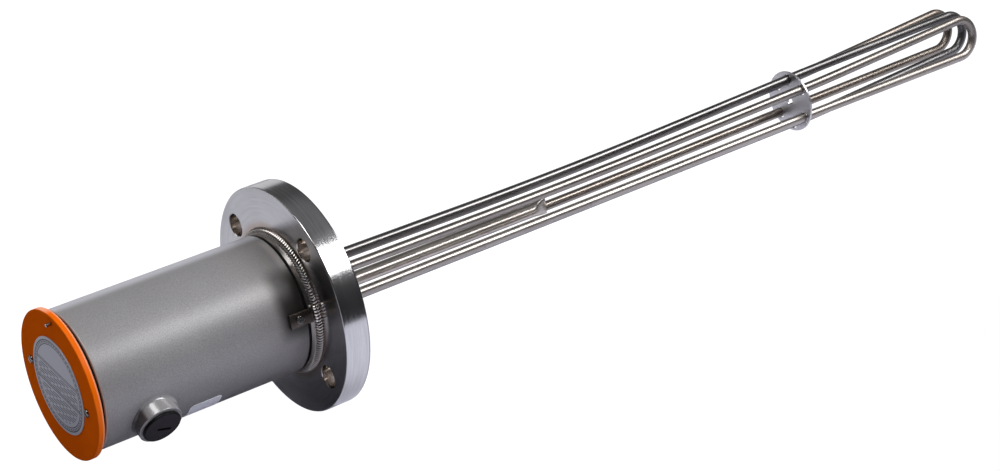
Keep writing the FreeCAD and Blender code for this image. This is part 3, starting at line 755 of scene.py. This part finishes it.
lid_screw = slotted_screw(
    around(lid_screw_circle_radius, lid_screw_angle, lid_outer_x), Vector((-1, 0, 0)),
    around(1.0, lid_screw_slot_angle), head_radius=3.4, head_height=1.6, shank_length=15.9)
lid_screws = piece(
    "lid_screw_pair", round_the_axis.made(lid_screw, Copies=2),
    zinc("lid_screw_zinc", (0.24, 0.228, 0.218), 0.13))
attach(lid_screws, "root")
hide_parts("lid_screws")
lid_stud = piece("lid_stud_pin", turned([
    (stud_root_x, 0), (stud_root_x, stud_radius), (stud_tip_x, stud_radius, 0.4), (stud_tip_x, 0)],
    48, around(stud_circle_radius, stud_angle)),
    zinc("lid_stud_zinc", (0.46, 0.44, 0.42), 0.16))
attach(lid_stud, "root")
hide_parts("lid_stud")


# Sticker: a white paper label with round corners, pressed on to the side of the housing. Its paper is
# matt and slightly fibrous, and is lighter at the cut edge. It is bare, with no words on it.
sticker_x = -125.6
sticker_angle = 237.0
sticker_half_length = 14.1
sticker_half_height = 15.0
sticker_corner = 3.0
sticker_thickness = 0.2


def sticker_mesh():
    """Thin label bent to the housing, made flat and then wrapped."""
    form = bmesh.new()
    outline = []
    for turn, sx, sy in ((0, 1, 1), (90, -1, 1), (180, -1, -1), (270, 1, -1)):
        for step in range(7):
            swing = radians(turn + 15 * step)
            outline.append(form.verts.new((
                sx * (sticker_half_length - sticker_corner) + sticker_corner * cos(swing),
                sy * (sticker_half_height - sticker_corner) + sticker_corner * sin(swing), 0)))
    form.faces.new(outline)
    for step in range(-14, 15):
        bmesh.ops.bisect_plane(form, geom=form.verts[:] + form.edges[:] + form.faces[:],
                               plane_co=(0, step, 0), plane_no=(0, 1, 0))
    top = bmesh.ops.extrude_face_region(form, geom=form.faces[:])
    for vert in top["geom"]:
        if isinstance(vert, bmesh.types.BMVert):
            vert.co.z = sticker_thickness
    for vert in form.verts:
        angle = sticker_angle + degrees(vert.co.y / housing_radius)
        vert.co = around(housing_radius + vert.co.z, angle, sticker_x + vert.co.x) * mm
    return closed_mesh(form)


paper = Finish("sticker_white_paper", Roughness=0.6)
paper_fibre = paper.grain(1200.0, 4.0, 0.65)
paper_cloud = paper.grain(90.0, 2.0, 0.5)
paper_sides, paper_ends = [abs(distance).smooth((half - 1.5) * mm, (half - 1.0) * mm) for distance, half in (
    (paper.x - sticker_x * mm, sticker_half_length), (paper.reach(sticker_angle + 90.0), sticker_half_height))]
paper_white = (paper_fibre * 0.5 + paper_cloud * 0.5).blend((0.80, 0.80, 0.87), (0.90, 0.90, 0.97))
paper["Base Color"] = paper_sides.maths("MAXIMUM", paper_ends).blend(paper_white, (0.97, 0.97, 1.0))
paper.bump(paper_fibre, 0.00003)
sticker = piece("paper_sticker", sticker_mesh(), paper.material)
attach(sticker, "root")
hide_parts("inspection_sticker")


# Fixing lugs: flat steel strips, one on each side, that run from a weld at the flange on to the housing,
# where a slotted screw holds them. The steel is left as cut, brownish and scratched.
lug_angle = 177.0
lug_out = around(1.0, lug_angle)
lug_round = around(1.0, lug_angle + 90.0)
lug_foot_x = -29.4
lug_foot = around(housing_radius, lug_angle, lug_foot_x)
lug_length = 20.7
lug_width = 11.8
lug_thickness = 2.5
lug_screw_inset = 12.2
lug_screw_slot_turn = radians(31.0)


def bare_steel(name, dark, light, roughness):
    """Strip steel as it comes, streaked and specked."""
    steel = Finish(name, Metallic=1.0)
    streaks = steel.grain(900.0, 3.0, 0.6, along=0.15)
    cloud = steel.grain(150.0, 3.0, 0.6)
    specks = steel.grain(1300.0, 1.0, 0.5).smooth(0.66, 0.72)
    bright = tuple(min(1.0, c * 1.5) for c in light)
    steel["Base Color"] = specks.blend(cloud.blend(dark, light), bright)
    steel["Roughness"] = roughness + 0.2 * (streaks - 0.5)
    steel.bump(streaks, 0.00003)
    return steel.material


lug_steel = bare_steel("lug_bare_steel", (0.07, 0.058, 0.05), (0.15, 0.125, 0.11), 0.34)
lug_centre = lug_foot - Vector((lug_length / 2, 0, 0)) + lug_out * (lug_thickness / 2)
lug_body = evaluated(box_mesh(lug_length, lug_width, lug_thickness, lug_centre, (1, 0, 0), lug_out),
                     "BEVEL", width=0.0005, segments=3, limit_method="ANGLE")
lugs = piece("fixing_lug_pair", round_the_axis.made(lug_body, Copies=2), lug_steel)
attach(lugs, "root")
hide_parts("fixing_lug_1", "fixing_lug_2")

lug_screw = slotted_screw(
    lug_foot - Vector((lug_screw_inset, 0, 0)) + lug_out * lug_thickness, lug_out,
    Vector((cos(lug_screw_slot_turn), 0, 0)) + lug_round * sin(lug_screw_slot_turn),
    head_radius=3.6, head_height=2.0, shank_length=7.0)
lug_screws = piece("lug_screw_pair", round_the_axis.made(lug_screw, Copies=2),
                   zinc("lug_screw_zinc", (0.20, 0.188, 0.176), 0.28))
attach(lug_screws, "root")
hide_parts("lug_screws")


# Lug welds: a row of short overlapping weld drops of bright bare steel, laid by hand one beside the other,
# that hold each lug's end to the flange's bead.
def weld_drops(drops):
    """Round drops run together into one skin; each drop is (x, across, out, radius)."""
    form = bmesh.new()
    for x, across, out, radius in drops:
        centre = (Vector((x, 0, 0)) + lug_out * (housing_radius + out) + lug_round * across) * mm
        bmesh.ops.create_icosphere(form, subdivisions=3, radius=radius * mm, matrix=Matrix.Translation(centre))
    mesh = bpy.data.meshes.new("drops")
    form.to_mesh(mesh)
    form.free()
    fused = evaluated(mesh, "REMESH", mode="VOXEL", voxel_size=0.0002, use_smooth_shade=True)
    return evaluated(fused, "SMOOTH", factor=0.5, iterations=3)


lug_drops = weld_drops([(-27.6, -5.2, 3.1, 1.9), (-27.2, -2.7, 3.4, 2.0), (-27.4, -0.1, 3.5, 2.1),
                        (-27.0, 2.6, 3.4, 2.0), (-27.3, 5.1, 3.0, 1.9)])
lug_welds = piece("lug_weld_drops", round_the_axis.made(lug_drops, Copies=2),
                  weld_metal("lug_weld_metal", (0.88, 0.84, 0.80), 0.04), 180)
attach(lug_welds, "root")
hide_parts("lug_welds")


# Heating elements: three hairpins of 8.5 mm drawn stainless tube. Each leg stands square out of the
# flange, draws in a little, leans outwards through its hole in the support plate, and springs on to a
# bend of its own.
element_radius = 4.24
cold_end_x = -45.9
shoulder_x = 22.0
flange_leg_radius = 19.6
waist_x = 262.0
waist_leg_radius = 17.9
waist_shift = Vector((0, 0, -1.1))
plate_leg_radius = 20.9
plate_x = 528.1
bundle_shift = Vector((0, 3.7, 1.9))
spring_run = 24.0
bend_radius = 17.8
leg_angles = {"front": 141.0, "middle": 90.0, "back": 39.0}
bend_centres = {"front": Vector((728.2, -13.5, 6.4)), "middle": Vector((732.18, 3.6, 7.7)),
                "back": Vector((730.2, 20.5, 8.2))}


def blended(start, corner, end, reach, steps):
    """Tangent arc in place of a corner."""
    first = corner + (start - corner).normalized() * reach
    last = corner + (end - corner).normalized() * reach
    shares = [step / steps for step in range(steps + 1)]
    return [first.lerp(corner, t).lerp(corner.lerp(last, t), t) for t in shares]


def leg_path(angle, centre):
    """Points of one leg, from its cold end behind the flange to where it meets the bend."""
    start = around(flange_leg_radius, angle, cold_end_x)
    shoulder = around(flange_leg_radius, angle, shoulder_x)
    waist = around(waist_leg_radius, angle, waist_x) + waist_shift
    crossing = around(plate_leg_radius, angle, plate_x) + bundle_shift
    spring = crossing + (crossing - waist) * (spring_run / (crossing.x - waist.x))
    other = around(plate_leg_radius, -angle, plate_x) + bundle_shift
    reach = spring - centre
    normal = reach.cross(other - centre).normalized()
    touch = Quaternion(normal, -acos(bend_radius / reach.length)) @ reach.normalized()
    touch = centre + touch * bend_radius
    return ([start] + blended(start, shoulder, waist, 20.0, 6) + blended(shoulder, waist, spring, 110.0, 14)
            + blended(waist, spring, touch, spring_run, 8) + [touch])


def hairpin_path(angle, centre):
    """Out along the upper leg, round the bend, and back along the lower leg."""
    steps = 24
    upper, lower = leg_path(angle, centre), leg_path(-angle, centre)
    crossings = around(plate_leg_radius, angle, plate_x), around(plate_leg_radius, -angle, plate_x)
    ahead = (centre - (bundle_shift + crossings[0] * 0.5 + crossings[1] * 0.5)).normalized()
    first, last = upper[-1] - centre, lower[-1] - centre
    bend = []
    for begin, end in ((first, ahead * bend_radius), (ahead * bend_radius, last)):
        swing = begin.angle(end)
        for step in range(steps):
            t = step / steps
            bend.append(centre + (begin * sin((1 - t) * swing) + end * sin(t * swing)) / sin(swing))
    return upper[:-1] + bend + lower[::-1]


sheath = Pattern("Sheath", Radius=float, Facets=int)
sheath_path = sheath.add("GeometryNodeMeshToCurve", {0: sheath.given("Geometry")})
sheath_ring = sheath.add("GeometryNodeCurvePrimitiveCircle",
                         {"Resolution": sheath.given("Facets"), "Radius": sheath.given("Radius")})
sheath.close(sheath.add("GeometryNodeCurveToMesh",
                        {"Curve": sheath_path, "Profile Curve": sheath_ring, "Fill Caps": True}))


def sheath_steel(name, dark, light, roughness, gloss):
    """Drawn stainless tube under a thin clear oxide: lines along it, brown and straw tints, dark marks, and
    painted shade on the upper legs.
    """
    tube = Finish(name, Metallic=1.0, Coat_Roughness=0.2, Coat_IOR=1.6)
    drawn = tube.grain(1500.0, 3.0, 0.6, along=0.03)
    patches = tube.grain(38.0, 3.0, 0.6, along=0.35)
    marks = tube.grain(210.0, 2.0, 0.5, along=0.6).smooth(0.68, 0.75)
    tone = patches.smooth(0.3, 0.7).blend(dark, light)
    tone = (marks * 0.5).blend(tone, tuple(c * 0.5 for c in dark))
    # Painted shade: the legs above the axis are darkened towards dark brown, standing in for the duller light
    # they reflect.
    tube["Base Color"] = (tube.z.smooth(-0.005, 0.005) * 0.28).blend(tone, (0.03, 0.02, 0.014))
    dulled = tube.x.smooth(0.45, 0.65)
    tube["Roughness"] = roughness + 0.06 * dulled + 0.05 * (drawn - 0.5) + 0.08 * (patches - 0.5) + 0.15 * marks
    tube["Coat Weight"] = gloss * (1 - 0.6 * dulled) * (1 - 0.5 * marks)
    tube.bump(drawn, 0.000002)
    return tube.material


sheath_looks = {"front": ((0.27, 0.243, 0.22), (0.36, 0.33, 0.305), 0.36, 0.82),
                "middle": ((0.12, 0.117, 0.12), (0.185, 0.18, 0.18), 0.34, 0.75),
                "back": ((0.24, 0.205, 0.175), (0.33, 0.29, 0.255), 0.36, 0.7)}
for side, angle in leg_angles.items():
    route = [tuple(point * mm) for point in hairpin_path(angle, bend_centres[side])]
    line = bpy.data.meshes.new("path")
    line.from_pydata(route, [(step, step + 1) for step in range(len(route) - 1)], [])
    tube_mesh = sheath.made(line, Radius=element_radius * mm, Facets=48)
    tube = piece("hairpin_" + side, tube_mesh, sheath_steel("sheath_steel_" + side, *sheath_looks[side]))
    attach(tube, "root")
    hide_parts("heating_element_" + side)


# Support plate: a thin stainless disc, drilled wide for the six legs and once in the middle, that keeps the
# legs apart. Its edges are burnished by the punch.
support_radius = 28.2
support_half = 1.0
leg_hole_radius = 5.1
leg_hole_shift = Vector((0, -0.7, -0.1))
middle_hole_radius = 3.75
support_centre = Vector((plate_x, 0, 0)) + bundle_shift
leg_turns = [turn for leg in leg_angles.values() for turn in (leg, -leg)]
support_holes = [(leg_hole_radius, around(plate_leg_radius, turn, plate_x) + bundle_shift + leg_hole_shift)
                 for turn in leg_turns] + [(middle_hole_radius, support_centre)]
hole_tools = bmesh.new()
for radius, place in support_holes:
    hole_tools.from_mesh(turned([(-2, 0), (-2, radius), (2, radius), (2, 0)], 48, place))
support_disc = turned([(-support_half, 0), (-support_half, support_radius, 0.6),
                       (support_half, support_radius, 0.6), (support_half, 0)], 192, support_centre, steps=3)
support_steel = bare_steel("support_plate_steel", (0.52, 0.511, 0.53), (0.64, 0.63, 0.655), 0.38)
support_plate = piece("support_disc", cut(support_disc, closed_mesh(hole_tools)), support_steel)
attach(support_plate, "root")
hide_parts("support_plate")


# Sensor pocket: a 12 mm stainless tube that stands out of the flange below the middle of the bundle, its
# end pressed flat and welded shut.
pocket_radius = 6.0
pocket_z = -5.5
pocket_back_x = -33.9
pocket_pinch_x = 226.0
pocket_end_x = 241.0
pinched_half_y = 1.6
pinched_half_z = 7.0


def pocket_mesh(facets=64):
    """Tube whose section goes from round to a flat bar with round edges."""
    form = bmesh.new()
    steps = 20
    stations = [(pocket_back_x, 0.0), (0.0, 0.0)]
    stations += [(pocket_pinch_x + (pocket_end_x - pocket_pinch_x) * step / steps, step / steps)
                 for step in range(steps + 1)]
    rings = []
    for x, press in stations:
        ease = press * press * (3 - 2 * press)
        half_y = pocket_radius + (pinched_half_y - pocket_radius) * ease
        half_z = pocket_radius + (pinched_half_z - pocket_radius) * ease
        square = 2.0 + 3.0 * ease
        ring = []
        for facet in range(facets):
            turn = 2 * pi * facet / facets
            c, s = cos(turn), sin(turn)
            y = half_y * copysign(abs(c) ** (2 / square), c)
            z = pocket_z + half_z * copysign(abs(s) ** (2 / square), s)
            ring.append(form.verts.new(Vector((x, y, z)) * mm))
        rings.append(ring)
    for ring, after in zip(rings, rings[1:]):
        for facet in range(facets):
            form.faces.new([ring[facet - 1], ring[facet], after[facet], after[facet - 1]])
    form.faces.new(rings[0])
    form.faces.new(rings[-1])
    return closed_mesh(form)


pocket = piece("sensor_pocket_tube", pocket_mesh(),
               sheath_steel("pocket_steel", (0.48, 0.435, 0.40), (0.60, 0.555, 0.515), 0.32, 0.4), 40)
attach(pocket, "root")
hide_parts("sensor_pocket")


# Element welds: a small rippled ring of bare weld metal seals each leg, and the pocket, where it leaves
# the flange. All seven stand in the shallow recess of the sealing face.
element_bead_metal = weld_metal("element_weld_metal", (0.60, 0.57, 0.53))
element_beads = bmesh.new()
bead_roots = [(element_radius, around(flange_leg_radius, turn)) for turn in leg_turns]
for root_radius, place in bead_roots + [(pocket_radius, Vector((0, 0, pocket_z)))]:
    ring = weld_ripples.made(
        bead_mesh(root_radius, leg=1.8, crown=0.2, facets=360, centre=(recess_x, 0, 0), towards=(1, 0, 0)),
        Ripples=round(root_radius * 5.2), Depth=0.2 * mm, Root=root_radius * mm, Side=1.0, FootX=recess_x * mm)
    ring.transform(Matrix.Translation(place * mm))
    element_beads.from_mesh(ring)
element_welds = piece("element_weld_beads", closed_mesh(element_beads), element_bead_metal, 60)
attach(element_welds, "root")
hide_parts("element_weld_rings")


# Inside the housing: the cold ends carry nickel-plated pins in white ceramic, with zinc-plated nuts,
# washers, brackets and earth stud. These keep the shapes of the solids.
pin_plating = zinc("terminal_pin_nickel", (0.70, 0.67, 0.60))
inner_zinc = zinc("inner_zinc")
ceramic = Finish("terminal_ceramic", Roughness=0.55)
ceramic_grain = ceramic.grain(900.0, 3.0, 0.5)
ceramic["Base Color"] = ceramic_grain.blend((0.74, 0.71, 0.64), (0.86, 0.84, 0.78))
ceramic.bump(ceramic_grain, 0.00004)
inner_finishes = dict.fromkeys((
    "lid_bracket_1", "lid_bracket_2", "terminal_washers", "terminal_nuts", "earth_stud", "earth_washer",
    "earth_nuts"), inner_zinc)
inner_finishes["star_link"] = pin_plating
for number in range(1, 7):
    inner_finishes["terminal_pin_%d" % number] = pin_plating
    inner_finishes["terminal_insulator_%d" % number] = ceramic.material
for name, finish in inner_finishes.items():
    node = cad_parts[name]
    node.data.materials.clear()
    node.data.materials.append(finish)


# Table, lights and camera: the heater lies on a white table in a dim room, with a softbox in front of it
# and to the right, a weak light over it and a weaker one behind. The table and the sweep behind are washed
# out to white in the picture.
table_z = -0.0953
table_white = bpy.data.materials.new("table_white")
table_white.use_nodes = True
table_nodes = Nodes(table_white.node_tree)
table_seen = table_nodes.add("ShaderNodeLightPath", output="Is Camera Ray")
table_x, table_y = table_nodes.split(table_nodes.add("ShaderNodeTexCoord", output="Object"))[:2]
table_tone = table_y.smooth(-0.1, 0.3).blend((0.80, 0.81, 0.92), (0.82, 0.82, 0.89))
# Painted shadow: a dark patch on the table under the housing, between the flange and the lid end.
table_painted_shadow = ((1 - table_x.smooth(-0.05, -0.015)) * table_x.smooth(-0.4, -0.25)
               * table_y.smooth(-0.13, -0.07) * (1 - table_y.smooth(0.1, 0.25)))
table_paint = table_nodes.add("ShaderNodeBsdfDiffuse", {
    "Color": (table_painted_shadow * 0.75).blend(table_tone, (0.16, 0.16, 0.19))})
table_glare = table_nodes.add("ShaderNodeEmission", {"Color": (1, 1, 1), "Strength": 1.2})
table_nodes.add("ShaderNodeOutputMaterial", {"Surface": table_nodes.add(
    "ShaderNodeMixShader", {0: table_seen * 0.85, 1: table_paint, 2: table_glare})})
table_mesh = bpy.data.meshes.new("table")
table_corners = (-4, -0.315), (5, -0.315), (5, 4), (-4, 4)
table_mesh.from_pydata([(x, y, table_z) for x, y in table_corners], [], [(0, 1, 2, 3)])
table_mesh.materials.append(table_white)
table = placed("table", table_mesh)


def studio_light(name, place, length, height, watts):
    """Soft rectangular light that faces the heater."""
    lamp = bpy.data.lights.new(name, "AREA")
    lamp.shape = "RECTANGLE"
    lamp.size = length
    lamp.size_y = height
    lamp.energy = watts
    holder = placed(name, lamp)
    holder.location = place
    holder.rotation_euler = Vector(place).to_track_quat("Z", "Y").to_euler()


studio_light("softbox", (1.36, -1.275, 1.39), 1.7, 0.74, 47)
studio_light("top_fill", (-0.50, -0.55, 2.20), 1.0, 1.0, 23)
studio_light("edge_light", (-1.45, 1.26, 1.60), 1.3, 0.5, 2.5)

room = bpy.data.worlds.new("room")
room.use_nodes = True
room_nodes = Nodes(room.node_tree)
room_seen = room_nodes.add("ShaderNodeLightPath", output="Is Camera Ray")
room_x, room_y, room_z = room_nodes.split(room_nodes.add("ShaderNodeTexCoord", output="Generated"))
room_sweep = room_y.smooth(0.1, 0.4) * room_x.smooth(-0.8, -0.6) * (1 - room_z.smooth(0.30, 0.42))
room_back = room_y.smooth(-0.3, 0.3).blend((0.03, 0.03, 0.032), (0.09, 0.09, 0.092))
room_dim = room_z.smooth(0.7, 0.9).blend(room_back, (0.17, 0.17, 0.175))
room_dim = room_sweep.blend(room_dim, (0.72, 0.72, 0.74))
room_shade = room_seen.blend(room_dim, (1.0, 1.0, 1.0))
room_glow = room_nodes.add("ShaderNodeBackground", {"Color": room_shade})
room_nodes.add("ShaderNodeOutputWorld", {"Surface": room_glow})
bpy.context.scene.world = room

camera_data = bpy.data.cameras.new("camera")
camera_data.sensor_width = 36.0
camera_data.lens = 88.98
camera = placed("camera", camera_data)
camera_right = Vector((0.8043, -0.57338, -0.15599))
camera_up = Vector((0.31292, 0.18553, 0.93148))
camera_back = Vector((-0.50516, -0.798, 0.32865))
camera.matrix_world = (Matrix.Translation((-0.8682, -1.6732, 0.6726))
                       @ Matrix((camera_right, camera_up, camera_back)).transposed().to_4x4())
bpy.context.scene.camera = camera
bpy.context.scene.view_settings.view_transform = "Standard"
